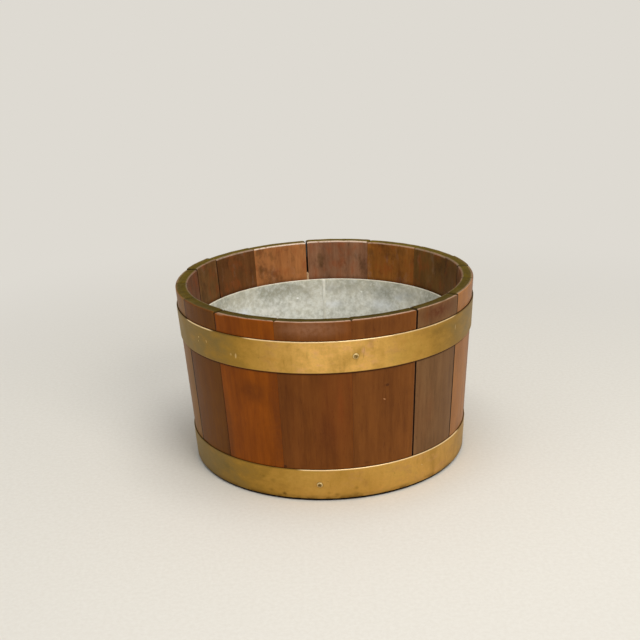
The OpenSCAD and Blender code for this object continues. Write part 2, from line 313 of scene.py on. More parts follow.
class Finish(Graph):
    """A material under construction, with the colour that it has so far."""

    def __init__(self, name):
        self.material = bpy.data.materials.new(name)
        self.material.use_nodes = True
        super().__init__(self.material.node_tree)
        self.shader = self.tree.nodes["Principled BSDF"]
        self.colour = None

    def place(self, turn=0.0, shift=(0, 0, 0), stretch=(1, 1, 1)):
        """Object coordinates turned about Z, moved, and then stretched."""
        here = self.put("TexCoord", "Object")
        turned = self.put("Mapping", Vector=here, Rotation=(0, 0, turn), Location=shift)
        return self.put("Mapping", Vector=turned, Scale=stretch)

    def height(self):
        """Height above the floor, in millimetres."""
        return self.put("SeparateXYZ", "Z", Vector=self.put("TexCoord", "Object")) * (1 / MM)

    def noise(self, where, scale, detail=3, roughness=0.55, distortion=0):
        """Smooth noise from 0 to 1, with its scale in waves to the metre."""
        looks = {"Scale": scale, "Detail": detail, "Roughness": roughness, "Distortion": distortion}
        return self.put("TexNoise", "Fac", Vector=where, **looks)

    def attribute(self, name):
        """The piece's own attribute of that name."""
        return self.put("Attribute", "Fac", {"attribute_name": name})

    def distance(self, vector):
        """The length of a vector."""
        return self.put("VectorMath", "Value", {"operation": "LENGTH"}, Vector=vector)

    def spot(self, turn, height, wide, tall, lean=0.0, inside=False, soft=0.45):
        """1 in an oval on the wall, at a turn in degrees and a height in mm, and 0 past its edge."""
        radius = (WALL.inner if inside else WALL.outer)(height * MM)
        facing = self.place(-math.radians(turn), (0, radius, -height * MM))
        leaning = self.put("Mapping", Vector=facing, Rotation=(0, math.radians(lean), 0))
        sizes = (wide * MM / 2, max(wide, tall, MARK_DEPTH) * MM / 2, tall * MM / 2)
        oval = self.put("Mapping", Vector=leaning, Scale=tuple(1 / size for size in sizes))
        return self.distance(oval).step(1.0, soft)

    def mix(self, share, first, second):
        """The first colour turning to the second as the share goes from 0 to 1.

        Among a Mix node's entries and outputs for every kind of data, 6, 7 and 2 are those for colours.
        """
        colours = {"data_type": "RGBA", "clamp_factor": True}
        return self.put("Mix", 2, colours, {0: share, 6: first, 7: second})

    def lay(self, *layers):
        """Lays colours over what the material has so far, each as far as its share says."""
        for share, tone in layers:
            self.colour = self.mix(share, self.colour, linear(tone) if isinstance(tone, str) else tone)

    def lay_marks(self, marks, inside=False):
        """Lays marks over the colour: small ones whole, and larger ones broken up by a noise."""
        broken = self.noise(self.place(), 160, 4, 0.6).step(0.3, 0.6)
        for turn, height, wide, tall, tone, strength, *lean in marks:
            small = min(wide, tall) < SMALL_MARK
            mark = self.spot(turn, height, wide, tall, *lean, inside=inside, soft=0.6 if small else 0.0)
            whole = mark if small else mark * (broken * 0.5 + 0.5)
            self.lay((whole * strength, tone))

    def bump(self, height, depth):
        """A normal from heights of 0 to 1 that stand for this depth in metres."""
        return self.put("Bump", Height=height, Distance=depth)

    def end(self, **entries):
        """Sets the shader's colour and other entries, and gives the finished material."""
        self.join(self.colour, self.shader.inputs["Base Color"])
        for key, value in entries.items():
            self.join(value, self.shader.inputs[key.replace("_", " ")])
        return self.material


def placed(name, data):
    """A new object in the scene."""
    thing = bpy.data.objects.new(name, data)
    bpy.context.scene.collection.objects.link(thing)
    return thing


def mesh_of(name, points, faces, smooth=True, **attributes):
    """A piece from an array of points and a list of faces, with its attributes spread over the points."""
    mesh = bpy.data.meshes.new(name)
    mesh.from_pydata(np.asarray(points, dtype=float).reshape(-1, 3), [], faces)
    mesh.update()
    mesh.polygons.foreach_set("use_smooth", np.full(len(mesh.polygons), smooth))
    for key, values in attributes.items():
        layer = mesh.attributes.new(key, "FLOAT", "POINT")
        spread = np.broadcast_to(values, np.shape(points)[:-1])
        layer.data.foreach_set("value", spread.astype(np.float32).ravel())
    return placed(name, mesh)


def fit_out(piece, material, body, node, replaces=True):
    """Gives a piece its material and its body, and hides the node if the piece replaces it."""
    piece.data.materials.append(material)
    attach(piece, body)
    if replaces:
        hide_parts(node)


def coat(node, material):
    """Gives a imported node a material."""
    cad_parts[node].data.materials.clear()
    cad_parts[node].data.materials.append(material)


def grid_faces(rows, columns, wrap_rows=False, wrap_columns=False):
    """Four-sided faces over a grid of points that is stored row by row, as an array."""
    row = np.arange(rows if wrap_rows else rows - 1)[:, None]
    column = np.arange(columns if wrap_columns else columns - 1)[None, :]
    this_row = row * columns
    next_row = (row + 1) % rows * columns
    next_column = (column + 1) % columns
    corners = [this_row + column, this_row + next_column, next_row + next_column, next_row + column]
    return np.stack(np.broadcast_arrays(*corners), axis=-1).reshape(-1, 4)


def bridged(loop):
    """Four-sided faces that fill a closed loop of an odd half: each point is bridged to the one across."""
    half = len(loop) // 2
    right = loop[: half + 1]
    left = np.concatenate([loop[half:], loop[:1]])[::-1]
    near = np.arange((half - 1) // 2)
    far = half - near
    first = np.stack([right[near], right[near + 1], right[far - 1], right[far]], axis=1)
    second = np.stack([left[far], left[far - 1], left[near + 1], left[near]], axis=1)
    return np.concatenate([first, second])


def stacked_faces(rows, columns):
    """Faces of a stack of closed loops, alike on both sides of a middle line, with both ends bridged."""
    first = bridged(np.arange(columns))[:, ::-1]
    last = bridged(np.arange((rows - 1) * columns, rows * columns))
    return np.concatenate([grid_faces(rows, columns, wrap_columns=True), first, last])


def capped_faces(rows, columns):
    """Faces of a stack of closed loops, with its first and last loop filled in."""
    faces = grid_faces(rows, columns, wrap_columns=True).tolist()
    faces.append(list(range(columns))[::-1])
    faces.append(list(range((rows - 1) * columns, rows * columns)))
    return faces


def flipped(faces):
    """Faces turned to look the other way."""
    return [face[::-1] for face in faces]


def turned_faces(rings, columns, start=0):
    """Faces of a turned form, counted from a start: a first pole, rings of points and a last pole."""
    column = np.arange(columns)
    after = (column + 1) % columns
    quads = grid_faces(rings, columns, wrap_columns=True) + 1
    last_ring = 1 + (rings - 1) * columns
    first_pole = np.stack([0 * column, 1 + after, 1 + column], axis=1)
    last_pole = np.stack([0 * column + last_ring + columns, last_ring + column, last_ring + after], axis=1)
    return [(face + start).tolist() for part in (first_pole, quads, last_pole) for face in part]


def node_points(node):
    """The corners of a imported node, as an array."""
    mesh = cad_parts[node].data
    flat = np.empty(3 * len(mesh.vertices), dtype=np.float32)
    mesh.vertices.foreach_get("co", flat)
    return flat.reshape(-1, 3).astype(float)


def radii(points):
    """Distances of points from the tub's axis."""
    return np.hypot(points[:, 0], points[:, 1])


def heights(points):
    """The lowest and the highest height of points."""
    return points[:, 2].min(), points[:, 2].max()


def polar(angle, radius, height):
    """Points from their angle from the front, radius and height, as one array."""
    parts = np.broadcast_arrays(radius * np.sin(angle), -radius * np.cos(angle), height)
    return np.stack(parts, axis=-1)


def circle(count):
    """Angles spread evenly round a full turn."""
    return np.linspace(0, math.tau, count, endpoint=False)


def wrapped(angle):
    """Angles brought between half a turn to the left and half a turn to the right."""
    return (angle + math.pi) % math.tau - math.pi


def spread(points):
    """The angle of a group's middle, from the front (-Y) to the right (+X), and the turn to each point."""
    centre = math.atan2(points[:, 0].mean(), -points[:, 1].mean())
    return centre, wrapped(np.arctan2(points[:, 0], -points[:, 1]) - centre)


def fade(value, start, end):
    """A smooth share for the numbers of an array: 0 at start, 1 at end."""
    share = np.clip((value - start) / (end - start), 0, 1)
    return share * share * (3 - 2 * share)


def drawn(kind, index=0):
    """The random draws of one piece of a kind."""
    return np.random.default_rng(SEEDS[kind] + index)


def waves(rng, count, longest, amplitude):
    """A smooth random function of two lengths, from 0 to amplitude: a sum of sines of falling wavelength."""
    wavelength = longest / (1 + np.arange(count) * 0.8)
    direction = rng.uniform(0, math.tau, count)
    phase = rng.uniform(0, math.tau, count)
    weight = 1 / (1 + np.arange(count))

    def height(u, v):
        total = sum(
            w * np.sin(math.tau * (u * math.cos(d) + v * math.sin(d)) / length + p)
            for w, d, p, length in zip(weight, direction, phase, wavelength)
        )
        return amplitude * (0.5 + 0.5 * total / weight.sum())

    return height


class Wall:
    """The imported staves' cone, whose radii grow with the height by its taper, and the base's groove."""

    def __init__(self):
        points = np.concatenate([node_points(name) for name in STAVES])
        radius = radii(points)
        low = points[:, 2] < 4 * MM
        high = points[:, 2] > 0.8 * points[:, 2].max()
        foot = np.flatnonzero(low)[np.argmax(radius[low])]
        rim = np.flatnonzero(high)[np.argmax(radius[high])]
        inner_foot = np.flatnonzero(low)[np.argmin(radius[low])]
        self.taper = (radius[rim] - radius[foot]) / (points[rim, 2] - points[foot, 2])
        self.foot_r = radius[foot] - self.taper * points[foot, 2]
        self.thick = self.foot_r + self.taper * points[inner_foot, 2] - radius[inner_foot]
        self.groove_low, self.groove_high = (corner[2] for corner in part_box(BOARDS[0]))
        self.groove_r = radii(np.concatenate([node_points(name) for name in BOARDS])).max() + 0.25 * MM
        self.hoops = [(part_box(name)[0][2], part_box(name)[1][2]) for name in HOOPS]
        self.liner_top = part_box("liner_wall")[1][2]

    def outer(self, z):
        return self.foot_r + self.taper * z

    def inner(self, z):
        return self.outer(z) - self.thick


WALL = Wall()
# Heights in millimetres that the finishes go by
LINER_TOP = WALL.liner_top / MM
LOWEST_BRASS = WALL.hoops[-1][0] / MM


class Board:
    """A stave's place: its middle, left and right as angles, its top, and how far its joints open."""

    hidden_gap = 0.25 * MM
    least_gap = 0.05 * MM
    tight_gap = 0.35 * MM
    open_gap = 1.4 * MM

    def __init__(self, name):
        points = node_points(name)
        self.centre, turn = spread(points)
        self.left = self.centre + turn.min()
        self.right = self.centre + turn.max()
        self.top = points[:, 2].max()

    def meet(self, after):
        """Closes the joint to the next stave until only what shows of its gap is left."""
        rim_r = WALL.outer(self.top)
        packed = wrapped(after.left - self.right) * rim_r
        shown = max(packed - self.hidden_gap, self.least_gap)
        self.right += (packed - shown) / 2 / rim_r
        after.left -= (packed - shown) / 2 / rim_r
        self.open_right = after.open_left = float(np.clip((packed - self.tight_gap) / self.open_gap, 0, 1))


def all_boards():
    """Every stave's place, with the joints between them worked out."""
    boards = [Board(name) for name in STAVES]
    for board, after in zip(boards, boards[1:] + boards[:1]):
        board.meet(after)
    return boards


def half_section():
    """Half of a stave's section, from its outer face's middle round a side to its inner face's middle.

    A row gives a share of the way to the side, a share of the way inwards, and insets across and inwards in
    arris radii: a quarter circle at each corner, and none on the faces.
    """
    across = np.linspace(0, 1, 21)
    bend = np.linspace(0, math.pi / 2, 6)
    depth = np.linspace(0, 1, 8)[1:-1]
    one, none = np.ones_like, np.zeros_like
    face = np.stack([across, none(across), across, none(across)], axis=1)
    corner = np.stack([one(bend), none(bend), 1 - np.sin(bend), 1 - np.cos(bend)], axis=1)
    side = np.stack([one(depth), depth, none(depth), 1 - 2 * depth], axis=1)
    mirror = np.array([1, -1, 1, -1])
    inner = np.concatenate([face, corner[1:]])[::-1] * mirror + (0, 1, 0, 0)
    return np.concatenate([face, corner[1:], side, inner])


def stave_rows(top, ease):
    """Heights of a stave's sections, how far each is drawn in, its rim measure, and if it is in the groove.

    Upwards come the rounded foot, the wall with the groove's corners, the eased rim and the flat top. The
    rim measure is 0 on the wall, rises to 1 round the ease, and then counts on in millimetres over the top.
    """
    bend = np.linspace(0, math.pi / 2, 7)
    foot = 1.0 * MM
    play = 0.2 * MM
    step = 0.02 * MM
    low = WALL.groove_low - play
    high = WALL.groove_high + play
    body = np.concatenate([np.linspace(foot, top - ease, 60), [low, high], [low + step, high - step]])
    body = np.sort(body[(body > foot) & (body < top - ease)])
    cap = np.linspace(ease, 0.7 * WALL.thick / 2, 4)[1:]
    eased = top - ease + ease * np.sin(bend)
    z = np.concatenate([foot - foot * np.sin(bend[::-1]), body, eased, top + 0 * cap])
    draw = np.concatenate([foot - foot * np.cos(bend[::-1]), 0 * body, ease - ease * np.cos(bend), cap])
    rim = np.concatenate([0 * bend, 0 * body, bend / (math.pi / 2), 1 + (cap - ease) / MM])
    in_groove = (z > low + step / 2) & (z < high - step / 2)
    return z, draw, rim, in_groove


def stave_mesh(name, index, board, sizes):
    """One stave as stacked sections.

    A section's point lies at an angle, its share of the way to the side less its insets, and at a radius
    between the cone's outside and inside. Both faces follow slow planing waves, the top leans in and its
    corners are knocked off, and the groove for the base steps the inner points out.
    """
    rng = drawn("stave", index)
    ease = sizes.rim_ease * rng.uniform(0.8, 1.15)
    z, draw, rim, in_groove = (part[:, None] for part in stave_rows(board.top, ease))

    half = half_section()
    side = np.concatenate([np.ones(len(half)), -np.ones(len(half) - 2)])
    share, inward, inset_across, inset_inward = np.concatenate([half, half[-2:0:-1]]).T
    openness = np.where(side > 0, board.open_right, board.open_left)
    arris = (0.2 + 0.8 * openness) * sizes.arris

    skin = 0.05 * MM
    most_lean = 0.5 * MM
    outer = WALL.outer(z) - skin
    inner = np.where(in_groove, WALL.groove_r, WALL.inner(z))
    level = (outer + inner) / 2
    radius = outer + (inner - outer) * inward - inset_inward * arris - draw * (1 - 2 * inward)
    reach = np.where(side > 0, board.right - board.centre, board.centre - board.left)
    to_side = reach * share - (inset_across * arris + share * draw) / level
    angle = board.centre + side * to_side

    arc = (angle - board.centre) * level
    planed = waves(rng, 5, 0.12, sizes.waviness)
    lean = most_lean * rng.uniform() * fade(z, 0.7 * board.top, board.top)
    radius = radius - planed(arc * 2.2, z * 0.5) * (1 - 1.8 * inward) - lean

    side_gap = np.maximum(reach - to_side, 0) * level
    knocked = np.where(side > 0, LOOKS[index].right_corner, LOOKS[index].left_corner) * MM
    uneven = waves(rng, 4, 0.03, 0.35 * MM)
    worn_reach = 5 * MM
    worn_away = knocked * fade(side_gap, worn_reach, 0) + uneven(arc, radius)
    z = z - worn_away * fade(z, board.top - worn_reach, board.top)

    grid = polar(angle, radius, z)
    faces = stacked_faces(*grid.shape[:2])
    looks = {"joint": side_gap / MM, "opened": openness, "rim": rim, "inside": inward}
    return mesh_of("varnished_" + name, grid, faces, **looks)


def wood_finish(name, index, board, sizes):
    """Varnished hardwood: soft bands, ribbons and fine streaks run up the board, with short dark pores.

    The inner face has its own tone and dull scuffs. Dirt gathers in open joints and on the rim, where its
    olive hue is partly a painted reflection.
    Painted shade darkens the wood round the hoops, above the liner and at the foot. The rim's edges and the
    edges of open joints are worn pale, and the rim's inner edge also carries a painted highlight.
    """
    finish = Finish("varnish_" + name)
    look = LOOKS[index]
    shift = (0.37 * index % 1.7, 0.61 * index % 1.3, 0.23 * index % 1.1)

    def figure(squeeze, *form):
        """Noise that runs up the board, where its coordinates are squeezed."""
        return finish.noise(finish.place(-board.centre, shift, (1, 1, squeeze)), *form)

    wander = figure(0.3, 14, 2)
    bands = figure(0.07, 45, 2, 0.5, 0.5)
    ribbon = figure(0.045, 220, 3, 0.6, 0.3)
    fine = figure(0.03, 800, 2, 0.6)
    pores = figure(0.1, 1000, 1).step(0.64, 0.76)
    mottle = figure(0.6, 40, 4, 0.6)
    scuffs = figure(0.45, 60, 5, 0.7).step(0.52, 0.72)
    stains = figure(0.7, 34, 4, 0.65).step(0.5, 0.7)
    flame = figure(0.5, 75, 4, 0.6)
    grain = figure(0.5, 260, 4, 0.7)
    depth, rim, joint, opened = map(finish.attribute, ("inside", "rim", "joint", "opened"))
    inside = depth.step(0.3, 0.7)
    z = finish.height()

    tone = 0.5 + (bands - 0.5) * 0.8 + (ribbon - 0.5) * 0.6 + (fine - 0.5) * 0.3 + (mottle - 0.5) * 0.5
    faces = []
    for colour in (look.outside, look.inside):
        base = scaled(linear(colour), *sizes.tint)
        faces.append(finish.mix(tone, scaled(base, 0.52, 0.46, 0.42), scaled(base, 1.48, 1.54, 1.58)))
    finish.colour = finish.mix(inside, *faces)
    finish.lay(
        (wander.step(0.55, 0.8) * 0.25, "7a3a14"),
        (pores * 0.3, "2a1408"),
        (inside * scuffs * 0.22, "8a7868"),
        (inside * stains * 0.55, "38200e"),
        (inside * flame.step(0.5, 0.7) * 0.4, "8c4218"),
        (inside * flame.step(0.48, 0.3) * 0.4, "4a3418"),
    )

    # Painted shade: darker on the inner face just above the liner, and a painted shadow round each hoop, wide
    # below it and thin above it
    shadow = z.step(LINER_TOP + 6, LINER_TOP) * inside * 0.35
    for low, high in WALL.hoops:
        under = z.step(low / MM - 3.8, low / MM - 0.9) * z.step(high / MM + 1.0, high / MM + 0.1)
        shadow = shadow + under * (1.0 - inside) * 0.85
    finish.lay(
        (shadow, "241306"),
        # Painted shade: the staves' foot below the lowest hoop is near black
        (z.step(LOWEST_BRASS + 1, LOWEST_BRASS) * 0.95, "0c0603"),
    )
    finish.lay_marks(WOOD_MARKS.get(name, ()))

    rubbed = joint.step(0.3, 0.8) * joint.step(2.2, 1.0) * opened * grain.step(0.35, 0.65)
    finish.lay(
        (rubbed * 0.35, "a8764c"),
        (joint.step(1.3, 0.4) * opened.step(0.1, 0.3), "140a04"),
        (joint.step(0.08, 0.02) * 0.9, "1c1006"),
    )
    # The rim's olive dirt is partly a painted reflection; it is darker at the front and paler towards the
    # back
    paler_behind = 0.85 - 0.3 * math.cos(board.centre)
    dark = scaled(sizes.rim, 0.7 * paler_behind)
    light = scaled(sizes.rim, 1.25 * paler_behind)
    dirt = finish.mix(grain.step(0.35, 0.7) * 0.6 + mottle.step(0.4, 0.65) * 0.4, dark, light)
    between = depth.step(0.02, 0.08) * depth.step(0.98, 0.92)
    finish.lay((rim.step(0.65, 0.95) + rim.step(0.05, 0.3) * between, dirt))
    rim_joint = joint.step(2.6, 0.4) * (opened * 2.2 + 0.04)
    finish.lay(
        (rim.step(0.5, 0.9) * rim_joint, "140c04"),
        (rim.step(0.0, 0.3) * joint.step(1.2, 0.3) * (opened * 0.6 + 0.12), "2c1a0c"),
    )
    edge = grain.step(0.25, 0.5) * joint.step(0.3, 1.2)
    outer_edge = edge * rim.step(0.5, 0.65) * rim.step(3.4, 1.8)
    outer_edge = outer_edge * depth.step(0.1, 0.0) * wander.step(0.28, 0.45)
    # The rim's inner edge is worn pale and, most on the back staves, carries a painted highlight
    inner_edge_wear_and_highlight = edge * rim.step(0.02, 0.15) * rim.step(2.2, 1.2) * depth.step(0.9, 1.0)
    finish.lay(
        (outer_edge * look.outer_wear, "b4927a"),
        (inner_edge_wear_and_highlight * look.inner_wear, "d4bca6"),
    )

    return finish.end(
        Roughness=0.42 + (ribbon - 0.5) * 0.2 + inside * 0.1 + shadow * 0.3 + rim.step(0.4, 0.9) * 0.3,
        Specular_IOR_Level=0.07,
        Coat_Weight=0.03 * (1.0 - shadow) * (1.0 - rim.step(0.4, 0.8)),
        Coat_Roughness=0.2,
        Normal=finish.bump(ribbon * 0.5 + fine * 0.3 - pores * 0.5 + mottle * 0.4, 0.1 * MM),
    )


def filler_mesh(left, right):
    """A strip of filler in an open joint: stacked sections of a shallow box with an uneven face and top."""
    rng = drawn("filler")
    width = 3 * MM
    thick = 6 * MM
    lap = 0.9 * MM
    ragged_reach = 3 * MM
    bottom = WALL.liner_top - 28 * MM
    top = WALL.liner_top + 12 * MM
    z = np.linspace(bottom, top, 60)[:, None]
    across = np.array([0, 0.25, 0.5, 0.75, 1, 1, 1, 0.5, 0, 0])[None, :]
    depth = np.array([0, 0, 0, 0, 0, 0.5, 1, 1, 1, 0.5])[None, :]
    lumps = waves(rng, 5, 0.012, 0.25 * MM)
    proud = 0.3 * MM - lumps(z, across * width)
    radius = WALL.inner(z) - proud * (1 - depth) + thick * depth
    overlap = lap / WALL.inner(z) * (1 - depth)
    angle = right + overlap + (left - right - 2 * overlap) * across
    ragged = 2.5 * MM * np.abs(np.sin(across * 7)) * fade(z, top - ragged_reach, top)
    grid = polar(angle, radius, z - ragged)
    return mesh_of("joint_filler", grid, capped_faces(*grid.shape[:2]))


def filler_finish():
    """Crumbly pale brown filler."""
    finish = Finish("joint_filler")
    crumbs = finish.noise(finish.place(), 900, 4, 0.7)
    finish.colour = finish.mix(crumbs.step(0.35, 0.65), linear("a07c58"), linear("c8a880"))
    return finish.end(Roughness=0.85, Normal=finish.bump(crumbs, 0.3 * MM))


class PLANTER_OT_staves(bpy.types.Operator):
    """Replace each packed stave by one with eased edges, planing waves and its own varnished board"""

    bl_idname = "planter.staves"
    bl_label = "Staves"

    def execute(self, context):
        sizes = context.scene.planter_staves
        boards = all_boards()
        for index, (name, board) in enumerate(zip(STAVES, boards)):
            piece = stave_mesh(name, index, board, sizes)
            fit_out(piece, wood_finish(name, index, board, sizes), "tub", name)
        widest = max(range(len(boards)), key=lambda i: boards[i].open_left)
        before = boards[widest - 1]
        after = boards[widest]
        gap_left = after.left - wrapped(after.left - before.right)
        fit_out(filler_mesh(gap_left, after.left), filler_finish(), "tub", STAVES[widest], replaces=False)
        return {"FINISHED"}


def bare_wood(name, base, index):
    """Unfinished board with its grain from front to back, dark streaks and dirt."""
    finish = Finish(name)
    shift = (0.41 * index, 0.13 * index, 0.0)
    grain = finish.noise(finish.place(0, shift, (1, 0.05, 1)), 160, 4, 0.65, 0.8)
    fine = finish.noise(finish.place(0, shift, (1, 0.04, 1)), 900, 3, 0.7)
    dirt = finish.noise(finish.place(0, shift), 18, 4, 0.6)
    finish.colour = finish.mix(grain.step(0.35, 0.7), scaled(base, 1), scaled(base, 0.6, 0.55, 0.5))
    finish.lay((dirt.step(0.45, 0.8) * 0.5, "3d2a1a"))
    return finish.end(Roughness=0.75 + fine * 0.15, Normal=finish.bump(grain + fine * 0.5, 0.3 * MM))


class PLANTER_OT_base(bpy.types.Operator):
    """Give the base boards and their dowels a bare, sawn wood"""

    bl_idname = "planter.base"
    bl_label = "Base"

    def execute(self, context):
        for index, name in enumerate(BOARDS + ["base_dowels"]):
            coat(name, bare_wood("bare_" + name, context.scene.planter_staves.bare, index))
        return {"FINISHED"}


def strip_section(width, thick, edge):
    """The strip's section, a clockwise loop of heights and depths: flats and quarter-round corners."""
    near = np.array([0.0, 0.4, 1.0, 2.2, 5.0]) * MM + edge
    across = np.concatenate([near, np.linspace(near[-1], width - near[-1], 9)[1:-1], width - near[::-1]])
    bend = np.linspace(0, math.pi / 2, 5)[1:]
    out_side = np.stack([across, np.full_like(across, thick)], axis=1)
    corner = np.stack([width - edge + edge * np.sin(bend), thick - edge + edge * np.cos(bend)], axis=1)
    quarter = np.concatenate([out_side, corner])
    below = np.stack([quarter[:, 0], thick - quarter[:, 1]], axis=1)[::-1]
    left = corner * (-1, -1) + (width, thick)
    upper_left = (corner * (-1, 1) + (width, 0))[::-1]
    return np.concatenate([quarter, below[1:], left[:-1], upper_left[:-1]])


def hoop_mesh(name, sizes, index):
    """A strip bent into a hoop.

    Its section is carried round the tub's cone, pulled in by slow dents, and where its ends lap, its last
    stretch climbs over its first by the strip's thickness.
    """
    rng = drawn("hoop", index)
    points = node_points(name)
    low, high = heights(points)
    beyond = radii(points) - WALL.outer(points[:, 2])
    play = beyond.min()
    thick = (beyond.max() - play) / 2
    lapped = points[beyond > play + 1.5 * thick]
    centre, turn = spread(lapped)
    first_end = centre + turn.min()
    last_end = centre + turn.max() + math.tau
    lap_start = last_end - (turn.max() - turn.min())
    ramp = 9 * MM / WALL.outer(low)

    width = high - low
    skin = 0.02 * MM
    soft_end = 4
    height, depth = strip_section(width, thick - skin, sizes.edge).T
    even = np.linspace(first_end, last_end, 440)
    along = np.unique(np.concatenate([even, np.linspace(lap_start - ramp, lap_start, 12)]))[:, None]
    climb = thick * fade(along, lap_start - ramp, lap_start)
    dent = waves(rng, 7, 0.14, sizes.dents)
    z = low + height + 0 * along
    pulled = dent(along * WALL.outer(low), z * 1.6) * fade(lap_start - along, 0, ramp)
    radius = WALL.outer(z) + play + depth - pulled * (depth > thick / 2) + climb
    grid = polar(along, radius, z)

    degrees = np.degrees(wrapped(along))
    # Painted highlight along the rubbed stretches of the top edge
    bright = sum(
        strength * fade(degrees, first, first + soft_end) * fade(degrees, last, last - soft_end)
        for first, last, strength in POLISHED_AND_HIGHLIT[name]
    )
    # Tarnish, with painted shade towards the sides
    tarnish_and_shade = np.interp(degrees, *np.array(TARNISH_AND_SHADE[name]).T)
    top_edge = fade(height, width - sizes.edge * 2.6, width - sizes.edge * 1.4)
    low_edge = fade(height, sizes.edge * 1.8, sizes.edge * 0.8)
    polish_highlight = np.minimum(bright, 1) * top_edge
    looks = {"polish_highlight": polish_highlight, "top_edge": top_edge, "low_edge": low_edge, "tarnish_and_shade": tarnish_and_shade}
    return mesh_of("brass_" + name, grid, flipped(capped_faces(*grid.shape[:2])), **looks)


def brass_finish(name, sizes, screws, seed):
    """Old brass: bright, pinkish and dull clouds, sides tarnished and darkened by painted shade, specks and
    pits, rubs and scratches.

    Grime rings the screws and gathers at the foot, and the worn stretches of the top edge carry a painted
    highlight.
    """
    finish = Finish("aged_brass_" + name)
    here = finish.place(0, (seed * 0.7, seed * 0.3, 0))
    patches = finish.noise(here, 18, 4, 0.6, 0.4)
    cloud = finish.noise(finish.place(0, (seed, 0, 0), (0.7, 0.7, 1.3)), 60, 4, 0.65)
    grain = finish.noise(here, 300, 3, 0.7)
    specks = finish.noise(here, 650, 2, 0.5).step(0.7, 0.8)
    pits = finish.noise(here, 150, 3, 0.6).step(0.68, 0.76)
    scratch = finish.noise(finish.place(0, (0, seed * 0.3, 0), (0.05, 0.05, 1)), 2600, 3, 0.7)
    rubs = finish.noise(finish.place(0, (0, 0, seed), (1, 1, 0.25)), 90, 4, 0.6, 0.6)
    names = ("tarnish_and_shade", "top_edge", "low_edge", "polish_highlight")
    tarnish_and_shade, top_edge, low_edge, polish_highlight = map(finish.attribute, names)

    dull = (0.54 - patches) * 2.2 + (0.5 - cloud) * 1.1 + (0.5 - rubs) * 0.8
    finish.colour = finish.mix(dull, scaled(sizes.brass, 1), scaled(sizes.dull, 1))
    finish.lay(
        (cloud.step(0.5, 0.72) * 0.5, "e0a884"),
        (patches.step(0.48, 0.68) * 0.4, "d2ba62"),
        (rubs.step(0.44, 0.3) * 0.2, "8c6a2c"),
    )
    # Tarnish and painted shade, stronger towards the sides
    uneven = tarnish_and_shade * (0.55 + cloud * 0.9)
    finish.lay(
        (uneven * 1.5, "ae8534"),
        (uneven.step(0.5, 1.0), "8a733f"),
        (specks * 0.5 + pits * 0.3, "5e4620"),
        ((grain - 0.39) * 0.5, scaled(sizes.dull, 0.7)),
    )
    for turn, height in screws:
        ring = finish.spot(turn, height, 13, 13) * (1.0 - finish.spot(turn, height, 8.4, 8.4, soft=0.9))
        finish.lay((ring * 0.4, "6a4c1e"))
    finish.lay_marks(BRASS_MARKS[name])
    finish.lay(
        (top_edge * 0.5, "5e4820"),
        # painted highlight on the top edge
        (polish_highlight * 1.3, "fadaa2"),
    )
    foot = finish.height().step(LOWEST_BRASS + 8, LOWEST_BRASS)
    finish.lay(
        (foot * (0.25 + cloud.step(0.6, 0.4) * 0.6), "6a4c1c"),
        (low_edge * (1.0 - foot * 1.6), "a87c40"),
        (low_edge * foot, "1a1006"),
    )
    rough = 0.44 + (patches - 0.5) * 0.3 + specks * 0.2 + (scratch - 0.5) * 0.12
    return finish.end(
        # Less metallic under the painted highlight, so that it shows brighter
        Metallic=1.0 - polish_highlight * 0.5,
        Roughness=rough + tarnish_and_shade * 0.1 - polish_highlight * 0.12,
        Normal=finish.bump(scratch * 0.3 + cloud * 0.8 + grain * 0.3 - pits * 0.5, 0.05 * MM),
    )


class Stud:
    """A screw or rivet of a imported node: its middle, its outward axis, and its head's radius and rise."""

    def __init__(self, points):
        self.angle = spread(points)[0]
        slope = math.hypot(1, WALL.taper)
        self.axis = polar(self.angle, 1 / slope, -WALL.taper / slope)
        self.right = polar(self.angle + math.pi / 2, 1.0, 0.0)
        self.up = np.cross(self.axis, self.right)
        out = points @ self.axis
        beside = (points @ self.right).mean()
        above = (points @ self.up).mean()
        across = np.hypot(points @ self.right - beside, points @ self.up - above)
        self.radius = across.max()
        base = out[across > 0.98 * self.radius].min()
        self.rise = out.max() - base
        self.length = base - out.min()
        self.shank = across[out < base - 0.5 * self.length].max()
        self.middle = base * self.axis + beside * self.right + above * self.up

    def place(self):
        """Its turn from the front in degrees and its height in millimetres."""
        return math.degrees(self.angle), self.middle[2] / MM


def studs_of(node):
    """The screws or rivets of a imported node, told apart by their distance from each other."""
    points = node_points(node)
    reach = 14 * MM
    studs = []
    while len(points):
        near = np.linalg.norm(points - points[0], axis=1) < reach
        studs.append(Stud(points[near]))
        points = points[~near]
    return studs


def stud_profile(stud):
    """Radii and rises of a stud's profile, and how many of them lie on the dome.

    It runs from beside the pole over the dome, a slice of a ball with its top cut flat, round the head's
    edge, under it, along the shank and round its end.
    """
    ball = (stud.radius**2 + stud.rise**2) / (2 * stud.rise)
    ring = stud.radius * np.linspace(0, 1, 27)[1:] ** 0.9
    edge_rise = 0.12 * MM
    flat_top = 0.8 * stud.rise
    dome = np.minimum(np.sqrt(ball**2 - ring**2) - ball + stud.rise + edge_rise, flat_top)
    below = (
        (stud.radius, 0.02 * MM),
        (stud.radius * 0.97, 0),
        (stud.shank, 0),
        (stud.shank, -0.8 * stud.length),
        (0.4 * stud.shank, -0.97 * stud.length),
    )
    return *np.concatenate([np.stack([ring, dome], axis=1), below]).T, len(ring)


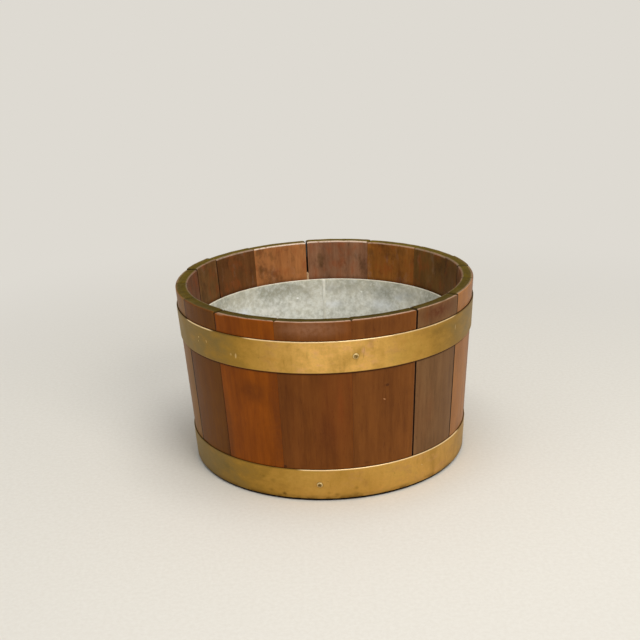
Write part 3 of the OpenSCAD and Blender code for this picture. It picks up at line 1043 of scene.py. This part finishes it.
def cross_cut(stud, around, radius):
    """1 in the two arms of a screw's cross, falling to 0 over their sloping sides and ends."""
    half_width = 0.55 * MM
    half_length = 0.56 * stud.radius
    soft = 0.25 * MM
    beside = radius * np.minimum(abs(np.cos(around + 0.5)), abs(np.sin(around + 0.5)))
    return fade(beside, half_width + soft, half_width) * fade(radius, half_length + soft, half_length)


def stud_mesh(name, studs, cross):
    """Turned heads with shanks: a profile is turned about each stud's axis, and a cross lowers its dome."""
    columns = 72
    cross_depth = 0.9 * MM
    around = circle(columns)
    points, faces, hollows, edges = [], [], [], []
    for index, stud in enumerate(studs):
        radius, rise, domed = stud_profile(stud)
        radius = radius[:, None]
        turn = around + 0.7 + index
        cut = cross_cut(stud, around, radius) if cross else 0 * radius * turn
        cut = cut * (np.arange(len(rise)) < domed)[:, None]
        rise = rise[:, None] - cross_depth * cut
        worn = fade(radius, 0.68 * stud.radius, 0.86 * stud.radius) + 0 * turn
        hollows += [[cut[0].max()], cut.ravel(), [0]]
        edges += [[0], worn.ravel(), [0]]
        rings = np.stack([radius * np.cos(turn), radius * np.sin(turn), rise], axis=-1).reshape(-1, 3)
        local = np.concatenate([[[0, 0, rise[0].min()]], rings, [[0, 0, -stud.length]]])
        faces += turned_faces(len(radius), columns, sum(map(len, points)))
        points.append(stud.middle + local @ np.stack([stud.right, stud.up, stud.axis]))
    looks = {"hollow": np.concatenate(hollows), "worn": np.concatenate(edges)}
    return mesh_of("turned_" + name, np.concatenate(points), flipped(faces), **looks)


def stud_brass(name, sizes, seed):
    """Dull brass of the screw and rivet heads, dark in their hollows, and pale on their worn edges, partly a
    painted highlight.
    """
    finish = Finish("stud_" + name)
    cloud = finish.noise(finish.place(0, (seed, 0, 0)), 600, 3, 0.6)
    grime = finish.noise(finish.place(0, (0, seed, 0)), 1400, 3, 0.6).step(0.5, 0.7)
    worn = finish.attribute("worn")
    dull = scaled(sizes.stud, 0.55, 0.55, 0.5)
    finish.colour = finish.mix(cloud.step(0.35, 0.7), dull, scaled(sizes.stud, 1))
    finish.lay(
        (grime * 0.4, "4a3a1c"),
        # Worn edge of the head, partly a painted highlight
        (worn * cloud.step(0.3, 0.55) * 0.8, "e8d49c"),
        (finish.attribute("hollow") * 0.5, "5a4722"),
    )
    # Less metallic on the edge, so that the painted highlight shows brighter
    return finish.end(Metallic=0.9 - worn * 0.4, Roughness=0.48 + cloud * 0.2)


class PLANTER_OT_hoops(bpy.types.Operator):
    """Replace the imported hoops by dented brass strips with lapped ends"""

    bl_idname = "planter.hoops"
    bl_label = "Hoops"

    def execute(self, context):
        sizes = context.scene.planter_hoops
        for index, name in enumerate(HOOPS):
            screws = [stud.place() for stud in studs_of(name + "_screws")]
            brass = brass_finish(name, sizes, screws, index + 1.0)
            fit_out(hoop_mesh(name, sizes, index), brass, "tub", name)
        return {"FINISHED"}


class PLANTER_OT_fasteners(bpy.types.Operator):
    """Replace the hoops' screws and rivets by turned brass ones"""

    bl_idname = "planter.fasteners"
    bl_label = "Fasteners"

    def execute(self, context):
        sizes = context.scene.planter_hoops
        names = [hoop + kind for hoop in HOOPS for kind in ("_screws", "_rivets")]
        for index, name in enumerate(names):
            piece = stud_mesh(name, studs_of(name), cross="screws" in name)
            fit_out(piece, stud_brass(name, sizes, index), "tub", name)
        return {"FINISHED"}


def zinc_finish(name, base, sizes, seed, marks=(), dirt=1.0):
    """Weathered zinc: white bloom in spots and runs, grey patches, spangle and pale specks.

    Its dirt says how dark the patches are. A frost of bloom grows downwards, and the fold has a painted
    highlight.
    """
    finish = Finish("zinc_" + name)
    here = finish.place(0, (seed, seed * 0.5, 0))
    spangle = finish.put("TexVoronoi", "Distance", Vector=here, Scale=150)
    cloud = finish.noise(here, 16, 5, 0.6, 0.4)
    mottle = finish.noise(here, 130, 5, 0.72)
    grain = finish.noise(here, 420, 3, 0.65)
    runs = finish.noise(finish.place(0, (0, 0, seed), (1, 1, 0.2)), 70, 4, 0.6)
    specks = finish.noise(here, 330, 2).step(0.7, 0.78)
    bloom = scaled(sizes.bloom, 1)
    z = finish.height()
    grey = scaled(base, 0.54, 0.56, 0.54)
    finish.colour = finish.mix(cloud.step(0.42, 0.6) * 0.7 * dirt, scaled(base, 1), grey)
    finish.lay(
        (mottle.step(0.42, 0.66) * 0.45, bloom),
        (mottle.step(0.46, 0.3) * 0.36 * dirt, scaled(base, 0.5, 0.51, 0.48)),
        (runs.step(0.5, 0.7) * 0.15, bloom),
        (spangle.step(0.2, 0.6) * 0.12, "8a8f8a"),
        ((grain - 0.42) * 0.5 * dirt, "a7a59a"),
        (specks * 0.6, "f4f4ee"),
    )
    frost = (mottle.step(0.25, 0.6) * 0.6 + 0.4) * z.step(192, 160)
    finish.lay((frost * 0.4, bloom))
    finish.lay_marks(marks, inside=True)
    # Painted highlight along the folded top edge
    finish.lay((z.step(LINER_TOP - 1.8, LINER_TOP - 0.9) * (cloud * 0.6 + 0.1), "f4ead0"))
    bump = finish.bump(mottle * 0.6 + cloud + grain * 0.3, 0.15 * MM)
    return finish.end(Metallic=0.15, Roughness=0.5 + mottle * 0.25, Normal=bump)


class Sheet:
    """The liner's sheet: its cone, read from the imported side, and the dents of its side and its seam."""

    below_fold = (30 * MM, 4 * MM)
    above_foot = 25 * MM
    held_by_fold = 0.7

    def __init__(self, sizes):
        points = node_points("liner_wall")
        self.low, self.high = heights(points)
        at_foot = radii(points)[points[:, 2] < self.low + 1 * MM]
        self.foot_r = at_foot.min()
        self.thick = at_foot.max() - self.foot_r
        self.dent = waves(drawn("sheet"), 7, 0.13, sizes.dents)

    def inner(self, z):
        return self.foot_r + WALL.taper * (z - self.low)

    def pushed(self, angle, z):
        """How far the sheet is pushed in at an angle and height: nothing at its foot, little at its fold."""
        at_fold = fade(z, *(self.high - below for below in self.below_fold))
        hold = fade(z, self.low, self.low + self.above_foot) * (1 - self.held_by_fold * at_fold)
        span = 2 * self.foot_r
        return hold * self.dent(np.sin(angle) * span, z + np.cos(angle) * span)


def liner_wall_mesh(sheet):
    """The liner's side: its section, foot to folded edge and back, carried round the cone with dents."""
    low, high, thick = sheet.low, sheet.high, sheet.thick
    hem = high - 6 * MM
    bend = np.linspace(0, math.pi, 9)
    z_in = np.linspace(low, high - thick, 50)
    z_out = np.concatenate([np.linspace(high - thick, hem, 6), np.linspace(hem - 0.4 * MM, low, 40)])
    layers = np.where(z_out >= hem, 2.0, 1.0)
    side_in = np.stack([sheet.inner(z_in), z_in], axis=1)
    fold_r = sheet.inner(high - thick) + thick - thick * np.cos(bend)
    fold = np.stack([fold_r, high - thick + thick * np.sin(bend)], axis=1)
    side_out = np.stack([sheet.inner(z_out) + thick * layers, z_out], axis=1)
    radius, z = np.concatenate([side_in, fold[1:-1], side_out]).T
    around = circle(256)[:, None]
    grid = polar(around, radius - sheet.pushed(around, z), z + 0 * around)
    return mesh_of("zinc_liner_wall", grid, grid_faces(*grid.shape[:2], wrap_rows=True, wrap_columns=True))


def seam_mesh(sheet):
    """Solder up the side's overlap: a flat bead on the dented sheet, of uneven width and height."""
    rng = drawn("seam")
    points = node_points("liner_seam")
    centre, turn = spread(points)
    half = np.abs(turn).max()
    z = np.linspace(*heights(points), 150)[:, None]
    upper = 15
    lower = 7
    across = np.concatenate([np.linspace(-1, 1, upper), np.linspace(1, -1, lower + 2)[1:-1]])
    raised = np.concatenate([np.ones(upper), np.zeros(lower)])
    width = 0.78 + waves(rng, 6, 0.03, 0.22)(z, 0 * z)
    lumps = waves(rng, 7, 0.014, 0.45)(z, across * 2 * MM)
    height = (0.3 + lumps) * MM * np.sqrt(np.maximum(1 - across**2, 0))
    angle = centre - half * width * across
    sunk = 0.1 * MM
    radius = sheet.inner(z) - sheet.pushed(angle, z) + sunk - (sunk + height) * raised
    grid = polar(angle, radius, z)
    return mesh_of("solder_liner_seam", grid, capped_faces(*grid.shape[:2]))


def liner_floor_mesh():
    """The liner's floor: a disc with shallow dents in its top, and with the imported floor's edge."""
    points = node_points("liner_bottom")
    radius = radii(points)
    low, high = heights(points)
    level = 0.01 * MM
    top_r = radius[points[:, 2] > high - level].max()
    foot_r = radius[points[:, 2] < low + level].max()
    edge = np.argmax(radius)
    rings = np.linspace(0, 1, 60)[1:, None]
    around = circle(180)[None, :]
    dent = waves(drawn("floor"), 7, 0.16, 0.5 * MM)
    shallow = 0.55
    upper_r = top_r * rings + 0 * around
    lower_r = foot_r * rings[::-1] + 0 * around
    sunk = dent(upper_r * np.sin(around), upper_r * np.cos(around)) * fade(upper_r, top_r, 0.85 * top_r)
    middle_sunk = dent(np.zeros(1), np.zeros(1))[0]
    upper = polar(around, upper_r, high - shallow * sunk)
    rim = polar(around, radius[edge] + 0 * around, points[edge, 2] + 0 * around)
    body = np.concatenate([upper, rim, polar(around, lower_r, low + 0 * lower_r)])
    disc = np.concatenate([[[0, 0, high - shallow * middle_sunk]], body.reshape(-1, 3), [[0, 0, low]]])
    return mesh_of("zinc_liner_bottom", disc, flipped(turned_faces(*body.shape[:2])))


class PLANTER_OT_liner(bpy.types.Operator):
    """Replace the liner's sheets and seam by dented ones and give the liner its weathered zinc"""

    bl_idname = "planter.liner"
    bl_label = "Liner"

    def execute(self, context):
        sizes = context.scene.planter_liner
        sheet = Sheet(sizes)
        side = zinc_finish("side", sizes.zinc, sizes, 0.3, ZINC_MARKS)
        floor = zinc_finish("floor", sizes.zinc, sizes, 1.7)
        seam = zinc_finish("seam", sizes.solder, sizes, 2.1, SEAM_MARKS, 0.55)
        fit_out(liner_wall_mesh(sheet), side, "liner", "liner_wall")
        fit_out(liner_floor_mesh(), floor, "liner", "liner_bottom")
        fit_out(seam_mesh(sheet), seam, "liner", "liner_seam")
        coat("liner_solder", zinc_finish("corner", sizes.solder, sizes, 3.2, dirt=0.6))
        return {"FINISHED"}


def softbox(name, place, size, power, colour):
    """A square lamp at a place, turned to shine at the tub."""
    lamp = bpy.data.lights.new(name, "AREA")
    lamp.size = size
    lamp.energy = power
    lamp.color = colour
    holder = placed(name, lamp)
    holder.location = place
    holder.rotation_euler = (Vector(LAMPS_AIM) - Vector(place)).to_track_quat("-Z", "Y").to_euler()


class PLANTER_OT_stage(bpy.types.Operator):
    """Set the floor, the soft lamps and the camera at the photograph's place"""

    bl_idname = "planter.stage"
    bl_label = "Stage"

    def execute(self, context):
        scene = context.scene
        corners = [(x * FLOOR_REACH, y * FLOOR_REACH, 0) for x, y in ((-1, -1), (1, -1), (1, 1), (-1, 1))]
        floor = mesh_of("floor", corners, [(0, 1, 2, 3)], smooth=False)
        pale = Finish("pale_floor")
        grit = pale.noise(pale.place(), 180, 5, 0.7)
        pale.colour = pale.mix(grit.step(0.3, 0.7), linear("d6d0c5"), linear("dcd7cd"))
        pale.end(Roughness=0.9)
        away = pale.distance(pale.place()).step(0.35, 1.3)
        pale.backed(away * pale.seen(), Value(pale, pale.shader.outputs[0]), "Emission", "Material Output")
        floor.data.materials.append(pale.material)

        world = bpy.data.worlds.new("soft_world")
        scene.world = world
        world.use_nodes = True
        air = Graph(world.node_tree)
        light = air.tree.nodes["Background"]
        light.inputs["Color"].default_value = linear("dfe2e4")
        light.inputs["Strength"].default_value = 0.65
        air.backed(air.seen(), Value(air, light.outputs[0]), "Background", "World Output")
        for lamp in LAMPS:
            softbox(*lamp)

        eye = bpy.data.cameras.new("camera")
        eye.sensor_width = SENSOR_WIDTH
        eye.lens = FOCAL_PIXELS / PHOTO_WIDTH * SENSOR_WIDTH
        holder = placed("camera", eye)
        tilt = Matrix.Rotation(math.pi / 2 - CAMERA_PITCH, 4, "X")
        place = Matrix.Translation((CAMERA_SIDE, -CAMERA_BACK, CAMERA_HEIGHT))
        holder.matrix_world = place @ tilt @ Matrix.Rotation(CAMERA_ROLL, 4, "Z")
        scene.camera = holder
        scene.view_settings.view_transform = "Standard"
        return {"FINISHED"}


OPERATORS = (
    PLANTER_OT_stage,
    PLANTER_OT_staves,
    PLANTER_OT_base,
    PLANTER_OT_hoops,
    PLANTER_OT_fasteners,
    PLANTER_OT_liner,
)


class PLANTER_PT_panel(bpy.types.Panel):
    """Lists the planter's settings and the steps that make it."""

    bl_label = "Planter"
    bl_idname = "PLANTER_PT_panel"
    bl_space_type = "VIEW_3D"
    bl_region_type = "UI"
    bl_category = "Planter"

    def draw(self, context):
        layout = self.layout
        for group in SETTINGS:
            box = layout.box()
            for key in SETTINGS[group].__annotations__:
                box.prop(getattr(context.scene, group), key)
        for operator in OPERATORS:
            layout.operator(operator.bl_idname)


def register():
    for cls in (*SETTINGS.values(), *OPERATORS, PLANTER_PT_panel):
        bpy.utils.register_class(cls)
    for key, cls in SETTINGS.items():
        setattr(bpy.types.Scene, key, PointerProperty(type=cls))


def unregister():
    for key in SETTINGS:
        delattr(bpy.types.Scene, key)
    for cls in reversed((*SETTINGS.values(), *OPERATORS, PLANTER_PT_panel)):
        bpy.utils.unregister_class(cls)


def main():
    register()
    for operator in OPERATORS:
        group, action = operator.bl_idname.split(".")
        getattr(getattr(bpy.ops, group), action)()


if __name__ == "__main__":
    main()
